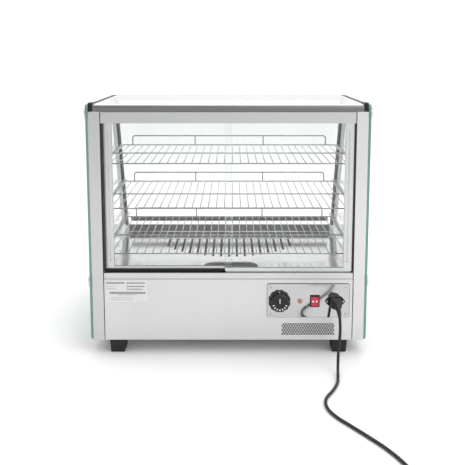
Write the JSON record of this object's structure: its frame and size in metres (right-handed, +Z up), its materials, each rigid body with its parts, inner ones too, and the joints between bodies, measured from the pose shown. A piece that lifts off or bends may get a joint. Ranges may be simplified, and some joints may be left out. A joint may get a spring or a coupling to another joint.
{
  "type": "hot food display case",
  "caption": "Counter-top heated glass showcase with a leaning front, wire shelves with guard rails, sliding rear doors and a control panel in a steel base.",
  "frame": {"origin": "on the counter, under the middle of the case's box with its knob and without its mains lead", "axes": "+X to the operator's right along the sliding doors, +Y towards the customer and the leaning front glass, +Z up"},
  "size_m": [0.6926, 1.1996, 0.622],
  "materials": {
    "brushed_steel": "brushed stainless steel sheet",
    "polished_steel": "mirror-polished stainless steel sheet",
    "aluminium_profile": "satin anodised aluminium profile",
    "dark_aluminium": "grey anodised aluminium profile",
    "heater_sheath": "oxidised steel heater tube",
    "chrome": "bright chrome plate",
    "clear_glass": "clear toughened float glass with green edges",
    "black_rubber": "matt black rubber",
    "black_plastic": "moulded black plastic",
    "black_coated_steel": "black powder coat",
    "red_lens": "glossy translucent red",
    "amber_lens": "glossy translucent amber",
    "lead_sheath": "black flexible lead sheath"
  },
  "bodies": {
    "case": {"base_casing": "brushed_steel", "rear_panel": "brushed_steel", "rear_post_left": "brushed_steel", "rear_post_right": "brushed_steel", "thermostat_body": "brushed_steel", "shelf_arm_top_left": "brushed_steel", "shelf_arm_top_right": "brushed_steel", "shelf_arm_middle_left": "brushed_steel", "shelf_arm_middle_right": "brushed_steel", "shelf_arm_bottom_left": "brushed_steel", "shelf_arm_bottom_right": "brushed_steel", "floor_plate": "polished_steel", "control_plate": "polished_steel", "upper_track": "aluminium_profile", "lower_track": "aluminium_profile", "top_front_rail": "aluminium_profile", "top_rear_rail": "dark_aluminium", "heating_element": "heater_sheath", "glass_cap_rear_top_left": "chrome", "glass_cap_rear_top_right": "chrome", "glass_cap_rear_bottom_left": "chrome", "glass_cap_rear_bottom_right": "chrome", "glass_cap_front_bottom_left": "chrome", "glass_cap_front_bottom_right": "chrome", "side_glass_left": "clear_glass", "side_glass_right": "clear_glass", "front_glass": "clear_glass", "top_glass": "clear_glass", "foot_front_left": "black_rubber", "foot_front_right": "black_rubber", "foot_rear_left": "black_rubber", "foot_rear_right": "black_rubber", "glass_seal_left": "black_rubber", "glass_seal_right": "black_rubber", "door_buffer_left": "black_rubber", "door_buffer_right": "black_rubber", "corner_block_left": "black_plastic", "corner_block_right": "black_plastic", "switch_body": "black_plastic", "power_inlet": "black_plastic", "lead_connector": "black_plastic", "lead_plug": "black_plastic", "front_upright_left": "black_coated_steel", "front_upright_right": "black_coated_steel", "pilot_lamp": "amber_lens", "lead_cord": "lead_sheath", "lead_coil": "lead_sheath"},
    "left_door": {"door_left_glass": "clear_glass", "door_left_frame": "aluminium_profile"},
    "right_door": {"door_right_glass": "clear_glass", "door_right_frame": "aluminium_profile"},
    "knob": {"thermostat_knob": "black_plastic"},
    "rocker": {"switch_rocker": "red_lens"},
    "top_shelf": {"shelf_top": "chrome", "guard_top": "chrome"},
    "middle_shelf": {"shelf_middle": "chrome", "guard_middle": "chrome"},
    "bottom_shelf": {"shelf_bottom": "chrome", "guard_bottom": "chrome"},
    "pan": {"water_pan": "polished_steel"}
  },
  "joints": [
    {"name": "left_door_slide", "type": "slide", "parent": "case", "child": "left_door", "axis": [1, 0, 0], "range_m": [0, 0.2913]},
    {"name": "right_door_slide", "type": "slide", "parent": "case", "child": "right_door", "axis": [-1, 0, 0], "range_m": [0, 0.2913]},
    {"name": "thermostat_turn", "type": "hinge", "parent": "case", "child": "knob", "pos_m": [0.125, -0.28455, 0.136], "axis": [0, 1, 0], "range_deg": [0, 270]},
    {"name": "switch_rock", "type": "hinge", "parent": "case", "child": "rocker", "pos_m": [0.2115, -0.27815, 0.136], "axis": [1, 0, 0], "range_deg": [0, 14]},
    {"name": "top_shelf_lift", "type": "slide", "parent": "case", "child": "top_shelf", "axis": [0, 0, 1], "range_m": [0, 0.015]},
    {"name": "middle_shelf_lift", "type": "slide", "parent": "case", "child": "middle_shelf", "axis": [0, 0, 1], "range_m": [0, 0.015]},
    {"name": "bottom_shelf_lift", "type": "slide", "parent": "case", "child": "bottom_shelf", "axis": [0, 0, 1], "range_m": [0, 0.015]},
    {"name": "water_pan_lift", "type": "slide", "parent": "case", "child": "pan", "axis": [0, 0, 1], "range_m": [0, 0.03]}
  ]
}
